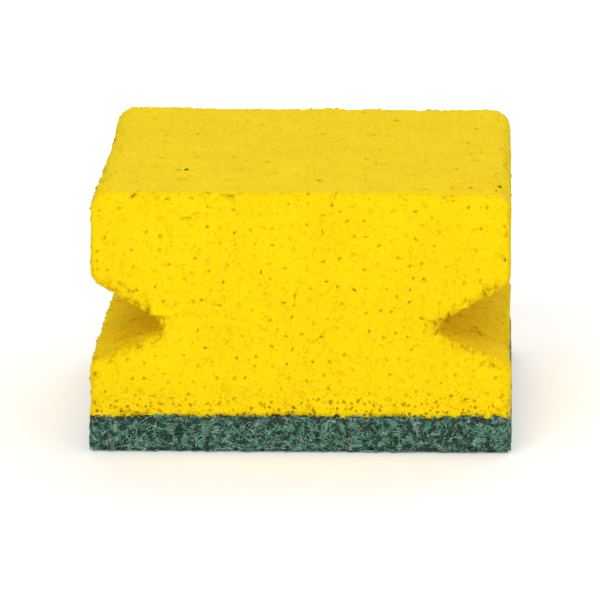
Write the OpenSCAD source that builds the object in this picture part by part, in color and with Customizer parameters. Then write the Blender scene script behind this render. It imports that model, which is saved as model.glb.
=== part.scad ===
// Cleaning sponge: a foam block with a finger groove along each side, bonded to a scouring pad.
// The sponge lies on its pad. X runs across the grooves, Y along them and Z up.
// The origin is the centre of the pad's lower face.

/* [Sponge] */
// Width across the two finger grooves
sponge_w = 70; // [55:1:90]
// Length along the finger grooves
sponge_l = 95; // [75:1:130]

/* [Foam block] */
// Height of the foam above the pad
foam_h = 38; // [34:0.5:46]
// Radius of the two long edges of the free face
crown_r = 3; // [1:0.5:5]

/* [Finger grooves] */
// Height of the full-width lip between the pad and a groove
lip_h = 9; // [7:0.5:11]
// Height of a groove at its mouth
groove_h = 14; // [12:0.5:16]
// Depth of a groove from the side to the bottom of its root
groove_d = 12; // [8:0.5:15]
// Height of the root's centre above the lip
root_rise = 6; // [5:0.5:8]
// Radius of the root
root_r = 2; // [1.5:0.25:3]
// Radius of the lip's edge
lip_r = 1.5; // [0.75:0.25:2.5]
// Radius of the edge above a groove
brow_r = 3; // [1:0.5:4]

/* [Open pores] */
// Mean distance between neighbouring large pores
pore_pitch = 7.5; // [6.5:0.5:14]
// Radius of the smallest large pore
pore_r_min = 0.4; // [0.3:0.05:0.5]
// Radius of the largest pore
pore_r_max = 0.9; // [0.6:0.05:1.2]

/* [Scouring pad] */
// Thickness of the pad
pad_t = 6; // [5:0.5:9]
// Radius of the pad's crushed lower edges
pad_edge_r = 0.8; // [0.4:0.1:1.2]
// Mean distance between neighbouring gaps in the web
gap_pitch = 5.5; // [5:0.5:12]
// Length of the longest gap between fibres
gap_l = 5; // [4:0.5:7]
// Width of the widest gap between fibres
gap_w = 0.9; // [0.7:0.1:1.2]

/* [Hidden] */
$fn = 48;
half_w = sponge_w / 2;
half_l = sponge_l / 2;
// Length by which a cutting shape runs past the face that it opens
past = 1;

foam_colour = [0.99, 0.82, 0.03];
pad_colour = [0.10, 0.30, 0.22];

// The foam's section is drawn from its lower face up. These are the +X side's corners.
crown = [half_w, foam_h];
brow = [half_w, lip_h + groove_h];
lip = [half_w, lip_h];
heel = [half_w, 0];
root_c = [half_w - groove_d + root_r, lip_h + root_rise];

// Share of its own cell by which a pore or gap strays from the cell's middle
stray = 0.6;
// Share of its radius by which a pore's centre lies below the face, so that its walls overhang
sunk = 0.3;
// Distance kept between a pore's centre and the edge of the face that it opens in
pore_margin = pore_r_max + 0.6;
// Distance kept between a gap's centre and the nearest face that it doesn't open in
gap_margin = gap_w + 0.8;
// Steepest slope, in degrees, of a gap in the pad's edge, where the web's layers lie nearly flat
gap_slope = 20;

function unit(v) = v / norm(v);
function between(low, high, share) = low + (high - low) * share;

// Point where the line from p touches the circle of radius r about c, on the given side
function touch(p, c, r, side) =
    let (d = p - c, a = atan2(d.y, d.x) + side * acos(r / norm(d)))
    c + r * [cos(a), sin(a)];
ledge_end = touch(lip, root_c, root_r, -1);
slope_end = touch(brow, root_c, root_r, 1);

// Distance from the side to the groove's wall at height z, taken as a plain V
function groove_reach(z) =
    z <= lip.y || z >= brow.y ? 0
    : z < root_c.y ? groove_d * (z - lip.y) / (root_c.y - lip.y)
    : groove_d * (brow.y - z) / (brow.y - root_c.y);

// Scattered spots in a rectangle about the origin, one to a cell, each with two shares from 0 to 1
function scatter(w, l, pitch, seed) =
    let (
        cols = max(1, floor(w / pitch)),
        rows = max(1, floor(l / pitch)),
        dice = rands(0, 1, 4 * cols * rows, seed)
    )
    [for (i = [0 : cols - 1], j = [0 : rows - 1])
        let (n = 4 * (i * rows + j))
        [
            w * ((i + 0.5 + stray * (dice[n] - 0.5)) / cols - 0.5),
            l * ((j + 0.5 + stray * (dice[n + 1] - 0.5)) / rows - 0.5),
            dice[n + 2],
            dice[n + 3]
        ]];

// Shape that rounds the convex corner p between edges that leave along u and v
module corner_cut(p, u, v, r) {
    half = acos(u * v) / 2;
    reach = r / tan(half);
    difference() {
        polygon([p - past * (u + v), p + reach * u, p + reach * v]);
        translate(p + unit(u + v) * r / sin(half)) circle(r);
    }
}

// One finger groove with eased edges, as it is cut from the +X side
module groove_outline() {
    out = [past, 0];
    translate(root_c) circle(root_r);
    polygon([lip, ledge_end, root_c, slope_end, brow, brow + out, lip + out]);
    corner_cut(lip, [0, -1], unit(ledge_end - lip), lip_r);
    corner_cut(brow, [0, 1], unit(slope_end - brow), brow_r);
}

// Section of the foam across its length
module foam_outline() {
    difference() {
        translate([-half_w, 0]) square([sponge_w, foam_h]);
        for (side = [0, 1]) mirror([side, 0]) {
            groove_outline();
            corner_cut(crown, [-1, 0], [0, -1], crown_r);
        }
    }
}

// Pores at the given spots of a face that lies in the XY plane and looks along +Z
module pores(spots) {
    for (spot = spots) {
        r = between(pore_r_min, pore_r_max, spot[2] * spot[3]);
        translate([spot.x, spot.y, -sunk * r]) sphere(r, $fn = 24);
    }
}

// Pores in the wall that runs clockwise round the section from a to b, clear of its rounded ends
module wall_pores(a, b, round_a, round_b, seed) {
    along = unit(b - a);
    first = a + (round_a + pore_margin) * along;
    last = b - (round_b + pore_margin) * along;
    middle = (first + last) / 2;
    translate([middle.x, 0, middle.y]) rotate([0, atan2(-along.y, along.x), 0])
        pores(scatter(norm(last - first), sponge_l - 2 * pore_margin, pore_pitch, seed));
}

module side_pores(seed) {
    wall_pores(crown, brow, crown_r, brow_r, seed);
    wall_pores(brow, slope_end, brow_r, 0, seed + 1);
    wall_pores(ledge_end, lip, 0, lip_r, seed + 2);
    wall_pores(lip, heel, lip_r, 0, seed + 3);
}

// Pores in the end that looks along -Y, clear of both grooves
module end_pores(seed) {
    spots = [
        for (spot = scatter(sponge_w - 2 * pore_margin, foam_h - 2 * pore_margin, pore_pitch, seed))
            if (abs(spot.x) < half_w - groove_reach(spot.y + foam_h / 2) - 2 * pore_margin) spot
    ];
    translate([0, -half_l, foam_h / 2]) rotate([90, 0, 0]) pores(spots);
}

module foam_block() {
    color(foam_colour) translate([0, 0, pad_t]) difference() {
        translate([0, half_l, 0]) rotate([90, 0, 0]) linear_extrude(sponge_l) foam_outline();
        wall_pores([-half_w, foam_h], crown, crown_r, crown_r, 11);
        for (side = [0, 1]) {
            mirror([side, 0, 0]) side_pores(21 + 10 * side);
            mirror([0, side, 0]) end_pores(41 + 10 * side);
        }
    }
}

// Section of the pad across a width, with both lower edges eased, run along Y for a length
module eased_slab(width, length) {
    translate([0, length / 2, 0]) rotate([90, 0, 0]) linear_extrude(length) difference() {
        translate([-width / 2, 0]) square([width, pad_t]);
        for (side = [0, 1]) mirror([side, 0]) corner_cut([width / 2, 0], [-1, 0], [0, 1], pad_edge_r);
    }
}

// Gaps between fibres in a face that lies in the XY plane, lying up to the given slope from X
module web_gaps(w, l, slope, seed) {
    for (spot = scatter(w - gap_l, l - 2 * gap_margin, gap_pitch, seed))
        translate([spot.x, spot.y, 0]) rotate([0, 0, slope * (2 * spot[2] - 1)]) rotate([0, 90, 0])
            cylinder(between(gap_l / 2, gap_l, spot[3]), d = gap_w * between(0.5, 1, spot[2]),
                center = true, $fn = 24);
}

module scour_pad() {
    color(pad_colour) difference() {
        intersection() {
            eased_slab(sponge_w, sponge_l);
            rotate([0, 0, 90]) eased_slab(sponge_l, sponge_w);
        }
        web_gaps(sponge_w, sponge_l - gap_l, 90, 61);
        for (side = [0, 1]) {
            translate([0, 0, pad_t / 2]) {
                rotate([0, 0, 180 * side]) translate([0, -half_l, 0]) rotate([90, 0, 0])
                    web_gaps(sponge_w, pad_t, gap_slope, 71 + side);
                rotate([0, 0, 180 * side + 90]) translate([0, -half_w, 0]) rotate([90, 0, 0])
                    web_gaps(sponge_l, pad_t, gap_slope, 81 + side);
            }
        }
    }
}

foam_block();
scour_pad();
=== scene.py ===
import math
import random

import bmesh
import bpy
from bpy.props import FloatProperty, FloatVectorProperty, IntProperty, PointerProperty
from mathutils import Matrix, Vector, noise


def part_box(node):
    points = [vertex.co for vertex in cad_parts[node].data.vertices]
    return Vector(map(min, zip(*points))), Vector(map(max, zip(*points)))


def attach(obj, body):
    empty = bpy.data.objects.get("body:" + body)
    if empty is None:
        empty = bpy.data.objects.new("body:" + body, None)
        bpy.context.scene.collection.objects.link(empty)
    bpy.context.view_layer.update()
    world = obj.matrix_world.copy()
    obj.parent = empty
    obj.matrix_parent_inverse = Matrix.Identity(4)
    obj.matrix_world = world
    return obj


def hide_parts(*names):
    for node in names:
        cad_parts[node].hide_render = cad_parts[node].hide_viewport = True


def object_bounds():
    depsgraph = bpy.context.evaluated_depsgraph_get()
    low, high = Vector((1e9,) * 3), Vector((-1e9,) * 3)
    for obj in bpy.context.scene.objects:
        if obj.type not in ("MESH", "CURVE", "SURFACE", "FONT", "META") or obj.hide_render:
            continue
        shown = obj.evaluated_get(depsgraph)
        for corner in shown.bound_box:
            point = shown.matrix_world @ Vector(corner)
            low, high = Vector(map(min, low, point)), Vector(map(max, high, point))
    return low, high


bl_info = {
    "name": "Cleaning Sponge",
    "version": (1, 0, 0),
    "blender": (4, 5, 0),
    "location": "3D View > Sidebar > Sponge",
    "description": "Dresses a foam cleaning sponge and its scouring pad",
    "category": "Object",
}

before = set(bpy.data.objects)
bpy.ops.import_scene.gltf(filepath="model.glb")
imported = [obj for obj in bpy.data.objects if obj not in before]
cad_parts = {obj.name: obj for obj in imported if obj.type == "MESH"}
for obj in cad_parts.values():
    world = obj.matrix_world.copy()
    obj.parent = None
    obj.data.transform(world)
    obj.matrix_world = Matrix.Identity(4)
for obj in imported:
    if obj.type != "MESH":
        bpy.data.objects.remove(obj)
CAD_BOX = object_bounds()

MM = 0.001
FOAM_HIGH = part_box("foam_block")[1]
PAD_LOW, PAD_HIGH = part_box("scour_pad")
SEAM_Z = PAD_HIGH.z
UP = Vector((0, 0, 1))


# Settings that a user would change

class FoamSettings(bpy.types.PropertyGroup):
    """Sizes and colours of the foam"""

    skin: FloatProperty(
        name="Skin mesh", description="Side of one face of the foam's skin",
        default=0.72 * MM, min=0.5 * MM, max=2 * MM, precision=5, unit="LENGTH",
    )
    pit_share: FloatProperty(
        name="Open cells", description="Share of the places for a large open cell that have one",
        default=0.54, min=0, max=1, subtype="FACTOR",
    )
    pit_depth: FloatProperty(
        name="Cell depth", description="Depth of a large open cell",
        default=0.34 * MM, min=0, max=1 * MM, precision=5, unit="LENGTH",
    )
    fill: FloatProperty(
        name="Fill", description="How tight the foam is, from slack to full",
        default=0.95, min=0, max=1, subtype="FACTOR",
    )
    colour: FloatVectorProperty(
        name="Foam", description="Colour of the foam's struts",
        default=(0.96, 0.66, 0.002), min=0, max=1, subtype="COLOR",
    )
    # Painted shade: a darker amber for the bottoms of the open cells, where shade falls
    painted_shade_colour: FloatVectorProperty(
        name="Cells", description="Painted shade at the bottom of an open cell",
        default=(0.72, 0.58, 0.004), min=0, max=1, subtype="COLOR",
    )
    speck_colour: FloatVectorProperty(
        name="Specks", description="Colour of the small specks near the bond with the pad",
        default=(0.28, 0.195, 0.007), min=0, max=1, subtype="COLOR",
    )
    seed: IntProperty(name="Seed", description="Start of the random draws", default=5)


class PadSettings(bpy.types.PropertyGroup):
    """Sizes and colours of the scouring pad"""

    skin: FloatProperty(
        name="Core mesh", description="Side of one face of the web's core",
        default=0.62 * MM, min=0.4 * MM, max=2 * MM, precision=5, unit="LENGTH",
    )
    fibre: FloatProperty(
        name="Fibre", description="Thickness of a coated fibre",
        default=0.24 * MM, min=0.05 * MM, max=0.5 * MM, precision=5, unit="LENGTH",
    )
    fibre_length: FloatProperty(
        name="Fibre length", description="Length of the stretch of a fibre that shows",
        default=7 * MM, min=2 * MM, max=15 * MM, unit="LENGTH",
    )
    fill: FloatProperty(
        name="Fill", description="How tight the web is, from slack to full",
        default=0.9, min=0, max=1, subtype="FACTOR",
    )
    colour: FloatVectorProperty(
        name="Web", description="Colour of the coated fibres",
        default=(0.24, 0.60, 0.41), min=0, max=1, subtype="COLOR",
    )
    # Painted shade: the dark of the hollows between the fibres, given to the core as its colour
    painted_shade_colour: FloatVectorProperty(
        name="Core", description="Painted shade between the fibres",
        default=(0.014, 0.053, 0.038), min=0, max=1, subtype="COLOR",
    )
    grit_colour: FloatVectorProperty(
        name="Grit", description="Colour of the abrasive grains",
        default=(0.73, 0.87, 0.68), min=0, max=1, subtype="COLOR",
    )
    seed: IntProperty(name="Seed", description="Start of the random draws", default=11)


class StageSettings(bpy.types.PropertyGroup):
    """The floor, the light and the camera"""

    azimuth: FloatProperty(
        name="Azimuth", description="Camera's turn round the sponge, from the end that faces -Y",
        default=math.radians(1.6), subtype="ANGLE",
    )
    elevation: FloatProperty(
        name="Elevation", description="Camera's angle above the floor",
        default=math.radians(10), subtype="ANGLE",
    )
    distance: FloatProperty(
        name="Distance", description="Distance from the camera to the sponge's near end",
        default=1.2, min=0.3, unit="LENGTH",
    )
    view_width: FloatProperty(
        name="View width", description="Width that the camera sees at the near end",
        default=0.1, min=0.05, unit="LENGTH",
    )


# Shader nodes written as expressions

# Step away from the origin for every noise
NOISE_SHIFT = (0.31, 0.17, 0.23)
# Height above the bond up to which the foam has dark specks
SPECK_REACH = 7 * MM


class Value:
    """A socket of a node tree, with the arithmetic that shader maths is written in."""

    def __init__(self, finish, socket):
        self.finish = finish
        self.socket = socket

    def maths(self, operation, *values):
        return self.finish.node(
            "ShaderNodeMath", {"operation": operation}, dict(enumerate(values)))

    def __add__(self, other):
        return self.maths("ADD", self, other)

    __radd__ = __add__

    def __mul__(self, other):
        return self.maths("MULTIPLY", self, other)

    __rmul__ = __mul__

    def __sub__(self, other):
        return self.maths("SUBTRACT", self, other)

    def __rsub__(self, other):
        return self.maths("SUBTRACT", other, self)

    def at_most(self, other):
        return self.maths("MINIMUM", self, other)

    def over(self, low, high):
        """From 0 at low to 1 at high, smoothly, whichever of the two is larger."""
        return self.finish.node(
            "ShaderNodeMapRange", {"interpolation_type": "SMOOTHSTEP"},
            {"Value": self, "From Min": low, "From Max": high})


class Finish:
    """The nodes that a procedural material, or the world, is built from."""

    def __init__(self, owner):
        self.owner = owner
        owner.use_nodes = True
        self.tree = owner.node_tree
        self.tree.nodes.clear()

    def node(self, kind, settings=None, sockets=None, output=0):
        made = self.tree.nodes.new(kind)
        for name, value in (settings or {}).items():
            setattr(made, name, value)
        for name, value in (sockets or {}).items():
            if isinstance(value, Value):
                self.tree.links.new(value.socket, made.inputs[name])
            else:
                made.inputs[name].default_value = value
        return Value(self, made.outputs[output]) if made.outputs else None

    def own_place(self):
        return self.node("ShaderNodeTexCoord", output="Object")

    def place(self):
        """Object coordinates, shifted off the origin, where the layers of a noise line up."""
        return self.node(
            "ShaderNodeVectorMath", {"operation": "ADD"}, {0: self.own_place(), 1: NOISE_SHIFT})

    def attribute(self, name):
        return self.node("ShaderNodeAttribute", {"attribute_name": name}, output="Fac")

    def noise(self, place, size):
        """Noise about 0.5 whose lumps are about size metres across."""
        return self.node(
            "ShaderNodeTexNoise", {}, {"Vector": place, "Scale": 1 / size, "Detail": 2})

    def cells(self, place, size):
        """Distance to the middle of the nearest of cells that are about size metres across."""
        return self.node(
            "ShaderNodeTexVoronoi", {}, {"Vector": place, "Scale": 1 / size}, "Distance")

    def mix(self, factor, first, second):
        return self.node(
            "ShaderNodeMix", {"data_type": "RGBA"}, {0: factor, 6: first, 7: second}, 2)

    def bump(self, height, distance, strength):
        return self.node(
            "ShaderNodeBump", {}, {"Height": height, "Distance": distance, "Strength": strength})

    def surface(self, **sockets):
        named = {name.replace("_", " "): value for name, value in sockets.items()}
        shader = self.node("ShaderNodeBsdfPrincipled", {}, named)
        self.node("ShaderNodeOutputMaterial", {}, {"Surface": shader})
        return self.owner

    def seen(self):
        """1 for what the camera sees, also by a reflection, and 0 for the light that is shed."""
        rays = ("Is Camera Ray", "Is Glossy Ray", "Is Transmission Ray")
        camera, glossy, through = [self.node("ShaderNodeLightPath", output=ray) for ray in rays]
        return (camera + glossy + through).at_most(1)


def material_finish(name):
    return Finish(bpy.data.materials.new(name))


def rgba(colour):
    return (*colour, 1.0)


def foam_finish(settings):
    finish = material_finish("yellow_foam")
    place = finish.place()
    height = finish.node("ShaderNodeSeparateXYZ", {}, {0: finish.own_place()}, "Z")
    near_seam = height.over(SEAM_Z + SPECK_REACH, SEAM_Z)
    cell = finish.cells(place, 0.55 * MM).over(0.5, 0.1)
    open_cell = cell * finish.noise(place, 1.2 * MM).over(0.35, 0.65)
    pore = finish.attribute("pore")
    ragged = finish.cells(place, 1.05 * MM) + 0.6 * finish.noise(place, 0.3 * MM)
    speck = (ragged - 0.18 * near_seam).over(0.45, 0.37)
    dark = near_seam * (0.85 * speck + 0.35 * open_cell + 0.4 * pore)
    pale = tuple(min(1, 1.05 * part) for part in settings.colour)
    patch = finish.noise(place, 9 * MM).over(0.3, 0.7)
    struts = finish.mix(patch, rgba(settings.colour), rgba(pale))
    # Painted shade: the noise's cells, and the bottoms of the open cells marked pore, are
    # darkened towards the painted shade colour
    struts_with_painted_shade = finish.mix(0.3 * open_cell + 0.1 * pore, struts, rgba(settings.painted_shade_colour))
    colour = finish.mix(dark.at_most(1), struts_with_painted_shade, rgba(settings.speck_colour))
    relief = finish.bump(-0.5 * cell - open_cell, 0.12 * MM, 0.75)
    return finish.surface(
        Base_Color=colour, Roughness=0.95, Normal=relief, Specular_IOR_Level=0.1,
        Subsurface_Weight=0.25, Subsurface_Radius=(1.0, 0.8, 0.1), Subsurface_Scale=0.4 * MM)


def web_finish(name, settings, tone):
    """Coated nylon web. A tone of 0 is the core, whose colour is painted shade between the
    fibres, 1 a fibre, and 2 one pale with grit.
    """
    finish = material_finish(name)
    place = finish.place()
    # core holds the painted shade colour; tone 0 keeps it, higher tones move to the fibre colour
    # and then the grit
    core, fibre, grit = map(
        Vector, (settings.painted_shade_colour, settings.colour, settings.grit_colour))
    middle = core.lerp(fibre, min(1, tone)).lerp(grit, 0.6 * max(0, tone - 1))
    mottle = finish.noise(place, 1.1 * MM).over(0.42, 0.58)
    web = finish.mix(mottle, rgba(0.3 * middle), rgba(1.4 * middle))
    grain = finish.cells(place, 0.3 * MM)
    gritty = grain.over(0.6, 0.25) * finish.noise(place, 1.2 * MM).over(0.50, 0.58)
    colour = finish.mix(gritty * min(1, 0.45 + 0.4 * tone), web, rgba(grit))
    relief = finish.bump(grain.over(0.5, 0.0) + finish.noise(place, 0.4 * MM), 0.08 * MM, 0.8)
    return finish.surface(
        Base_Color=colour, Roughness=0.55, Normal=relief, Specular_IOR_Level=0.3)


# Shaping

# Waves as pairs of a height and a length: those of the bond, and those of the foam's skin
SEAM_WAVES = ((0.45 * MM, 11 * MM), (0.2 * MM, 3.5 * MM), (0.3 * MM, 1.3 * MM))
SKIN_WAVES = ((0.5 * MM, 26 * MM), (0.1 * MM, 4 * MM), (0.05 * MM, 1.3 * MM))
# Reach over which the foam's and the pad's skins settle onto the bond
FOAM_SETTLES = 4 * MM
PAD_SETTLES = 3 * MM
# Step between the noises that move a vertex along each axis
NOISE_STEP = 9.3
# Share of a face's side by which a vertex strays alone, and together with its neighbours
STRAY = 0.3
SHARED_STRAY = 1.6
# Least cosines between normals on flat skin, and on a face flat enough for a cell or the bond
FLAT = 0.97
NEARLY_FLAT = 0.9
# Height above the bond up to which cells crowd, and how far their share grows there
CROWD_REACH = 6 * MM
CROWD_SHARE = 0.4
# Smallest, largest and commonest radius of a cell, in millimetres
CELL_RADII = (0.24, 0.6, 0.3)
# Share of the cell depth and width of the rim, for each quarter of the cells, smallest first
CELL_RIMS = ((1.0, 0.09 * MM), (1.4, 0.12 * MM), (0.8, 0.15 * MM), (0.6, 0.20 * MM))
# Turns, in radians, past which an edge of a cell is crisp and an edge of the skin is sharp
CRISP = 0.7
SHARP = 0.5
# Width of the rim that a hidden face keeps, and how far the face may lie off the bond
HIDDEN_RIM = 2 * MM
OFF_BOND = 0.4 * MM
# Heights above the bond between which the finger grooves' edges lie
GROOVE_LOW = 7 * MM
GROOVE_HIGH = 25 * MM
# Steps outwards that fray the edge at the bond and the grooves' edges, in millimetres
BOND_FRAY = (0.05, 0.45)
GROOVE_FRAY = (-1.3, 0.4)
# Lengths of the torn struts, and the share of the places that have one
STRUTS = (0.12 * MM, 0.22 * MM, 0.38 * MM)
STRUT_SHARE = 0.45
# Lengths of the web's coarse and fine hollows, their depth and the least depth
COARSE_WEB = 1.1 * MM
FINE_WEB = 0.5 * MM
WEB_DEPTH = 0.8 * MM
LEAST_DEPTH = 0.05 * MM
# Height over which the floor presses the web flat
PRESSED = 2 * MM


def linked(name, mesh):
    piece = bpy.data.objects.new(name, mesh)
    bpy.context.scene.collection.objects.link(piece)
    return piece


def remeshed_copy(node, name, skin):
    """A copy of a CAD node, merged and remeshed to even faces about skin metres across."""
    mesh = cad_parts[node].data.copy()
    mesh.materials.clear()
    solid = bmesh.new()
    solid.from_mesh(mesh)
    bmesh.ops.remove_doubles(solid, verts=solid.verts, dist=0.001 * MM)
    solid.to_mesh(mesh)
    solid.free()
    piece = linked(name, mesh)
    remesh = piece.modifiers.new("Even skin", "REMESH")
    remesh.mode = "VOXEL"
    remesh.voxel_size = skin
    remesh.use_smooth_shade = True
    apply_modifiers(piece)
    return piece


def apply_modifiers(piece):
    depsgraph = bpy.context.evaluated_depsgraph_get()
    mesh = bpy.data.meshes.new_from_object(piece.evaluated_get(depsgraph))
    piece.modifiers.clear()
    old = piece.data
    piece.data = mesh
    bpy.data.meshes.remove(old)
    mesh.name = piece.name


def opened(piece):
    """The piece's mesh, ready to be shaped."""
    solid = bmesh.new()
    solid.from_mesh(piece.data)
    solid.normal_update()
    return solid


def drift(place):
    """A slow random step at a place, about one unit long at most."""
    return Vector([noise.noise(place + NOISE_STEP * axis * UP) for axis in range(3)])


def loosened(solid, skin, dice):
    """Moves each vertex a little along the surface, so that no grid of side skin shows."""
    for vert in solid.verts:
        step = Vector([dice.uniform(-STRAY, STRAY) for _ in range(3)]) * skin
        if min(face.normal.dot(vert.normal) for face in vert.link_faces) > FLAT:
            step += SHARED_STRAY * skin * drift(vert.co / (4 * skin))
        vert.co += step - step.dot(vert.normal) * vert.normal


def closeness(distance, reach):
    """1 at no distance, falling evenly to 0 at reach."""
    return max(0, 1 - distance / reach)


def waves(place, layers):
    """Sum at a place of waves that each have a height and a length."""
    total = 0
    for height, length in layers:
        total += height * noise.noise(place / length)
    return total


def seam_shift(place):
    """How far the bond between foam and pad rises or falls at a place."""
    return waves(Vector((place.x, place.y, 0)), SEAM_WAVES)


def cell_places(solid, share, dice):
    """
    Scattered vertices on nearly flat skin, each with the ring round it that no other uses.
    They lie closer together near the bond.
    """
    verts = list(solid.verts)
    dice.shuffle(verts)
    taken = set()
    places = []
    for vert in verts:
        ring = {other for face in vert.link_faces for other in face.verts} - {vert}
        if vert in taken or not taken.isdisjoint(ring):
            continue
        if min(other.normal.dot(vert.normal) for other in ring) < NEARLY_FLAT:
            continue
        if dice.random() > share + CROWD_SHARE * closeness(vert.co.z - SEAM_Z, CROWD_REACH):
            continue
        taken.update(ring, (vert,))
        places.append((vert, sorted(ring, key=lambda other: other.index)))
    return places


def rounded_ring(vert, ring, radius, dice):
    """Draws the ring in to a rough oval about its vertex."""
    longest = Vector([dice.uniform(-1, 1) for _ in range(3)]).normalized()
    for other in ring:
        step = other.co - vert.co
        lift = step.dot(vert.normal) * vert.normal
        outward = (step - lift).normalized()
        stretch = 0.85 + 0.5 * outward.dot(longest) ** 2
        reach = radius * dice.uniform(0.8, 1.15) * stretch
        other.co = vert.co + reach * outward + lift


def hidden_floor(solid, side):
    """Joins the bonded faces inside the rim, which look up (side 1) or down (side -1)."""
    def inside(face):
        middle = face.calc_center_median()
        return (
            abs(middle.z - SEAM_Z) < OFF_BOND
            and side * face.normal.z > NEARLY_FLAT
            and abs(middle.x) < FOAM_HIGH.x - HIDDEN_RIM
            and abs(middle.y) < FOAM_HIGH.y - HIDDEN_RIM
        )

    faces = [face for face in solid.faces if inside(face)]
    for vert in {vert for face in faces for vert in face.verts}:
        vert.co.z = SEAM_Z
    bmesh.ops.dissolve_faces(solid, faces=faces)


def open_cells(solid, settings, dice):
    """Opens crisp cells of mixed size into the skin, and marks their bottoms for the finish."""
    solid.normal_update()
    solid.verts.index_update()
    pore = solid.verts.layers.float.new("pore")
    places = cell_places(solid, settings.pit_share, dice)
    for vert, ring in places:
        rounded_ring(vert, ring, dice.triangular(*CELL_RADII) * MM, dice)
    bmesh.ops.dissolve_verts(solid, verts=[vert for vert, ring in places])
    cells = []
    for _, ring in places:
        if ring[0].is_valid:
            cells += [face for face in ring[0].link_faces if set(ring) <= set(face.verts)]
    cells.sort(key=lambda face: face.calc_area())
    quarter = len(cells) // len(CELL_RIMS)
    walls = []
    for index, (share, rim) in enumerate(CELL_RIMS):
        some = cells[index * quarter:(index + 1) * quarter]
        walls += bmesh.ops.inset_individual(
            solid, faces=some, thickness=rim, depth=-share * settings.pit_depth,
            use_even_offset=False)["faces"]
        for face in some:
            for vert in face.verts:
                vert[pore] = 1.0
    solid.normal_update()
    for edge in {edge for wall in walls for edge in wall.edges}:
        edge.smooth = edge.calc_face_angle(0) < CRISP


def sharp_edges(solid):
    """The skin's sharp edges, in a fixed order."""
    solid.normal_update()
    solid.verts.index_update()
    solid.faces.index_update()
    return [edge for edge in solid.edges if edge.calc_face_angle(0) > SHARP]


def frayed_rims(solid, dice):
    """Frays the edge that the pad is bonded to, and the finger grooves' edges at both ends."""
    rim = {vert for edge in sharp_edges(solid) for vert in edge.verts}
    for vert in sorted(rim, key=lambda vert: vert.index):
        height = vert.co.z - SEAM_Z
        if height < 0.5 * MM:
            vert.co += vert.normal * dice.uniform(*BOND_FRAY) * MM
        elif abs(vert.co.x) < FOAM_HIGH.x - 2 * MM and GROOVE_LOW < height < GROOVE_HIGH:
            vert.co += vert.normal * dice.uniform(*GROOVE_FRAY) * MM


def torn_struts(solid, dice):
    """Raises short torn struts along the skin's sharp edges."""
    beside = {face for edge in sharp_edges(solid) for face in edge.link_faces}
    faces = [face for face in sorted(beside, key=lambda face: face.index) if len(face.verts) == 4]
    for index, length in enumerate(STRUTS):
        some = [face for face in faces[index::len(STRUTS)] if dice.random() < STRUT_SHARE]
        bmesh.ops.poke(solid, faces=some, offset=length)


def foam_mesh(piece, settings):
    dice = random.Random(settings.seed)
    solid = opened(piece)
    for vert in solid.verts:
        near_seam = closeness(vert.co.z - SEAM_Z, FOAM_SETTLES)
        swell = waves(vert.co, SKIN_WAVES) * (1 - near_seam)
        vert.co += vert.normal * swell + UP * seam_shift(vert.co) * near_seam
    loosened(solid, settings.skin, dice)
    hidden_floor(solid, -1)
    frayed_rims(solid, dice)
    torn_struts(solid, dice)
    open_cells(solid, settings, dice)
    solid.to_mesh(piece.data)
    solid.free()


def pad_mesh(piece, settings):
    dice = random.Random(settings.seed)
    solid = opened(piece)
    for vert in solid.verts:
        near_seam = closeness(SEAM_Z - vert.co.z, PAD_SETTLES)
        near_floor = closeness(vert.co.z - PAD_LOW.z, PRESSED)
        coarse, fine = (abs(noise.noise(vert.co / size)) for size in (COARSE_WEB, FINE_WEB))
        depth = WEB_DEPTH * (coarse + 0.6 * fine) + LEAST_DEPTH
        sunk = depth * (1 - near_seam) * (1 - 0.6 * near_floor)
        vert.co -= vert.normal * sunk
        vert.co += UP * seam_shift(vert.co) * near_seam
    loosened(solid, settings.skin, dice)
    hidden_floor(solid, 1)
    solid.to_mesh(piece.data)
    solid.free()


# Fibres

# Fibres in each piece, and the steps of one
FIBRES = 2650
STEPS_PER_FIBRE = 8
# Share of a fibre's thickness at its two ends
TIP = 0.55
# Height of the crimp, and its turn at each step, in radians
CRIMP = 0.1 * MM
CRIMP_TURN = 1.3
# Spread of a fibre's first bend and of each new one, and the share of the last that it keeps
FIRST_BEND = 0.35
NEW_BEND = 0.32
KEPT_BEND = 0.6
# Tones of the fibres' finishes, and the indices that one is drawn from
TONES = (0.3, 1.0, 2.0)
TONE_DRAW = (0, 0, 1, 1, 2)


class Face:
    """A flat face of the pad: its middle, its two directions with half sizes, and its normal."""

    def __init__(self, middle, across, along, half_across, half_along):
        self.middle = Vector(middle)
        self.across = Vector(across)
        self.along = Vector(along)
        self.half = (half_across, half_along)
        self.normal = self.across.cross(self.along)

    def area(self):
        return 4 * self.half[0] * self.half[1]

    def at(self, place, lift):
        return self.middle + place[0] * self.across + place[1] * self.along + lift * self.normal


def pad_edges():
    """
    The pad's four edge faces, with their along direction upwards. They reach from just above
    the floor to a little past the bond.
    """
    low, high = PAD_LOW.z + 0.18 * MM, SEAM_Z + 0.45 * MM
    half_h = (high - low) / 2
    z = (high + low) / 2
    x, y = PAD_HIGH.x, PAD_HIGH.y
    return [
        Face((0, -y, z), (1, 0, 0), UP, x, half_h),
        Face((0, y, z), (-1, 0, 0), UP, x, half_h),
        Face((x, 0, z), (0, 1, 0), UP, y, half_h),
        Face((-x, 0, z), (0, -1, 0), UP, y, half_h),
    ]


def pad_underside():
    return [Face((0, 0, PAD_LOW.z), (1, 0, 0), (0, -1, 0), PAD_HIGH.x, PAD_HIGH.y)]


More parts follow.
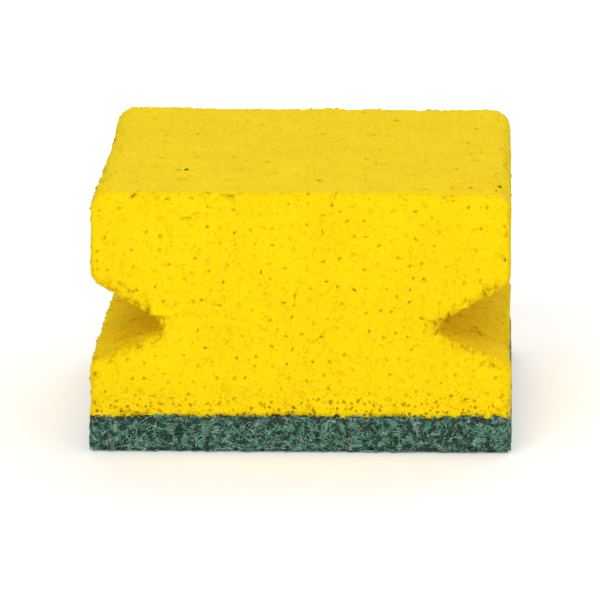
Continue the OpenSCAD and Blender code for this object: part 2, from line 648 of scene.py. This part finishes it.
def crimped_fibre(spline, face, length, lean, lift, dice):
    """One crimped fibre that wanders over a face and turns back at its borders."""
    steps = len(spline.points) - 1
    stride = length / steps
    place = [dice.uniform(-half, half) for half in face.half]
    heading = dice.gauss(0, lean) + math.pi * dice.randrange(2)
    bend = dice.gauss(0, FIRST_BEND)
    wave = dice.uniform(0, math.tau)
    for index, point in enumerate(spline.points):
        height = lift + CRIMP * math.sin(wave + CRIMP_TURN * index)
        point.co = (*face.at(place, height), 1)
        point.radius = TIP if index in (0, steps) else 1.0
        bend = KEPT_BEND * bend + dice.gauss(0, NEW_BEND)
        heading += bend
        for axis, step in enumerate((math.cos(heading), math.sin(heading))):
            place[axis] += stride * step
            if abs(place[axis]) > face.half[axis]:
                place[axis] -= 2 * stride * step
                heading = math.pi - heading if axis == 0 else -heading


def fibre_piece(name, faces, lean, lifts, settings):
    """A piece of many crimped fibres, spread over the faces by their area."""
    dice = random.Random(name)
    curve = bpy.data.curves.new(name, "CURVE")
    curve.dimensions = "3D"
    curve.bevel_depth = settings.fibre / 2
    curve.bevel_resolution = 0
    curve.use_fill_caps = True
    whole = sum(face.area() for face in faces)
    for face in faces:
        for _ in range(round(FIBRES * face.area() / whole)):
            spline = curve.splines.new("POLY")
            spline.points.add(STEPS_PER_FIBRE)
            spline.use_smooth = True
            spline.material_index = dice.choice(TONE_DRAW)
            length = settings.fibre_length * dice.uniform(0.6, 1.2)
            crimped_fibre(spline, face, length, lean, dice.uniform(*lifts), dice)
    for tone in TONES:
        curve.materials.append(web_finish(f"{name}_{round(100 * tone)}", settings, tone))
    drawn = linked(name + "_drawn", curve)
    depsgraph = bpy.context.evaluated_depsgraph_get()
    mesh = bpy.data.meshes.new_from_object(drawn.evaluated_get(depsgraph))
    bpy.data.objects.remove(drawn)
    bpy.data.curves.remove(curve)
    mesh.name = name
    solid = bmesh.new()
    solid.from_mesh(mesh)
    bmesh.ops.remove_doubles(solid, verts=solid.verts, dist=0.0001 * MM)
    solid.to_mesh(mesh)
    solid.free()
    return linked(name, mesh)


def dressed(piece):
    """Makes a piece of the sponge move with it, by hanging it from the root body."""
    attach(piece, "root")


# Operators

class SPONGE_OT_foam(bpy.types.Operator):
    """Build the foam with its open cells"""

    bl_idname = "sponge.foam"
    bl_label = "Foam"

    def execute(self, context):
        settings = context.scene.sponge_foam
        piece = remeshed_copy("foam_block", "foam", settings.skin)
        foam_mesh(piece, settings)
        piece.data.materials.append(foam_finish(settings))
        dressed(piece)
        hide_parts("foam_block")
        return {"FINISHED"}


class SPONGE_OT_pad(bpy.types.Operator):
    """Build the scouring pad's core"""

    bl_idname = "sponge.pad"
    bl_label = "Scouring pad"

    def execute(self, context):
        settings = context.scene.sponge_pad
        piece = remeshed_copy("scour_pad", "pad_core", settings.skin)
        pad_mesh(piece, settings)
        # The core's finish, at tone 0, is painted shade: the dark between the fibres
        piece.data.materials.append(web_finish("shaded_web", settings, 0.0))
        dressed(piece)
        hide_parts("scour_pad")
        return {"FINISHED"}


class SPONGE_OT_fibres(bpy.types.Operator):
    """Lay the crimped fibres over the pad's edges and its lower face"""

    bl_idname = "sponge.fibres"
    bl_label = "Fibres"

    def execute(self, context):
        settings = context.scene.sponge_pad
        clear = settings.fibre / 2 + CRIMP
        layers = (
            ("edge_fibres", pad_edges(), 0.6, (-0.4 * MM, 0.22 * MM)),
            ("face_fibres", pad_underside(), 3.0, (-0.4 * MM, -clear)),
        )
        for name, faces, lean, lifts in layers:
            dressed(fibre_piece(name, faces, lean, lifts, settings))
        return {"FINISHED"}


class SPONGE_OT_stage(bpy.types.Operator):
    """Set up the floor, the light and the camera"""

    bl_idname = "sponge.stage"
    bl_label = "Stage"

    def execute(self, context):
        settings = context.scene.sponge_stage
        add_floor()
        add_lights()
        add_world(context.scene)
        add_camera(context.scene, settings)
        context.scene.view_settings.view_transform = "Standard"
        return {"FINISHED"}


# The floor, the light and the camera

# Half of the floor's side
FLOOR_HALF = 3
# The floor's glow, for what is seen alone: near the sponge, and more of it far from there
NEAR_GLOW = 0.22
FAR_GLOW = 0.35
# Distances from the sponge's middle between which the glow grows
GLOW_REACH = (0.12, 0.45)
# Strength of the world's light on the sponge, where what is seen of it has a strength of 1
WORLD_LIGHT = 0.35
# Name, place, size and power of each lamp, aimed at the origin
LAMPS = (
    ("key", (-0.3, -1.5, 0.95), 1.0, 13.5),
    ("fill", (0.6, -1.3, 0.5), 1.2, 5.0),
    ("back", (0.2, 1.5, 1.3), 1.4, 15.0),
    ("top", (0, 0, 1.6), 1.2, 2.5),
)
# Share of the sponge's height that the camera aims at
AIM_SHARE = 0.59


def add_floor():
    solid = bmesh.new()
    bmesh.ops.create_grid(solid, x_segments=1, y_segments=1, size=FLOOR_HALF)
    mesh = bpy.data.meshes.new("floor")
    solid.to_mesh(mesh)
    solid.free()
    finish = material_finish("white_floor")
    paper = finish.node("ShaderNodeBsdfDiffuse", {}, {"Color": (0.95, 0.95, 0.95, 1)})
    distance = finish.node(
        "ShaderNodeVectorMath", {"operation": "LENGTH"}, {0: finish.own_place()}, "Value")
    strength = (NEAR_GLOW + FAR_GLOW * distance.over(*GLOW_REACH)) * finish.seen()
    glow = finish.node("ShaderNodeEmission", {}, {"Strength": strength})
    shader = finish.node("ShaderNodeAddShader", {}, {0: paper, 1: glow})
    finish.node("ShaderNodeOutputMaterial", {}, {"Surface": shader})
    mesh.materials.append(finish.owner)
    linked("floor", mesh)


def add_lights():
    for name, place, size, power in LAMPS:
        light = bpy.data.lights.new(name, "AREA")
        light.size = size
        light.energy = power
        lamp = linked(name, light)
        lamp.location = place
        lamp.rotation_euler = (-Vector(place)).to_track_quat("-Z", "Y").to_euler()


def add_world(scene):
    finish = Finish(bpy.data.worlds.new("studio"))
    strength = WORLD_LIGHT + (1 - WORLD_LIGHT) * finish.seen()
    sky = finish.node("ShaderNodeBackground", {}, {"Color": (1, 1, 1, 1), "Strength": strength})
    finish.node("ShaderNodeOutputWorld", {}, {"Surface": sky})
    scene.world = finish.owner


def add_camera(scene, settings):
    camera = bpy.data.cameras.new("camera")
    camera.lens = camera.sensor_width * settings.distance / settings.view_width
    turn, tilt = settings.azimuth, settings.elevation
    level = Vector((math.sin(turn), -math.cos(turn), 0))
    back = math.cos(tilt) * level + math.sin(tilt) * UP
    low, high = CAD_BOX
    aim = Vector((0, low.y, AIM_SHARE * high.z))
    eye = linked("camera", camera)
    eye.location = aim + back * settings.distance
    eye.rotation_euler = (-back).to_track_quat("-Z", "Y").to_euler()
    scene.camera = eye


class VIEW3D_PT_sponge(bpy.types.Panel):
    """Sponge settings and build steps"""

    bl_label = "Cleaning Sponge"
    bl_space_type = "VIEW_3D"
    bl_region_type = "UI"
    bl_category = "Sponge"

    def draw(self, context):
        scene = context.scene
        for group in (scene.sponge_foam, scene.sponge_pad, scene.sponge_stage):
            box = self.layout.box()
            for name in group.bl_rna.properties.keys():
                if name not in {"rna_type", "name"}:
                    box.prop(group, name)
        for step in STEPS:
            self.layout.operator(step)


CLASSES = (
    FoamSettings,
    PadSettings,
    StageSettings,
    SPONGE_OT_foam,
    SPONGE_OT_pad,
    SPONGE_OT_fibres,
    SPONGE_OT_stage,
    VIEW3D_PT_sponge,
)
STEPS = ("sponge.foam", "sponge.pad", "sponge.fibres", "sponge.stage")


def register():
    for cls in CLASSES:
        bpy.utils.register_class(cls)
    bpy.types.Scene.sponge_foam = PointerProperty(type=FoamSettings)
    bpy.types.Scene.sponge_pad = PointerProperty(type=PadSettings)
    bpy.types.Scene.sponge_stage = PointerProperty(type=StageSettings)


def unregister():
    del bpy.types.Scene.sponge_foam
    del bpy.types.Scene.sponge_pad
    del bpy.types.Scene.sponge_stage
    for cls in reversed(CLASSES):
        bpy.utils.unregister_class(cls)


def main():
    register()
    bpy.ops.sponge.foam()
    bpy.ops.sponge.pad()
    bpy.ops.sponge.fibres()
    bpy.ops.sponge.stage()


if __name__ == "__main__":
    main()
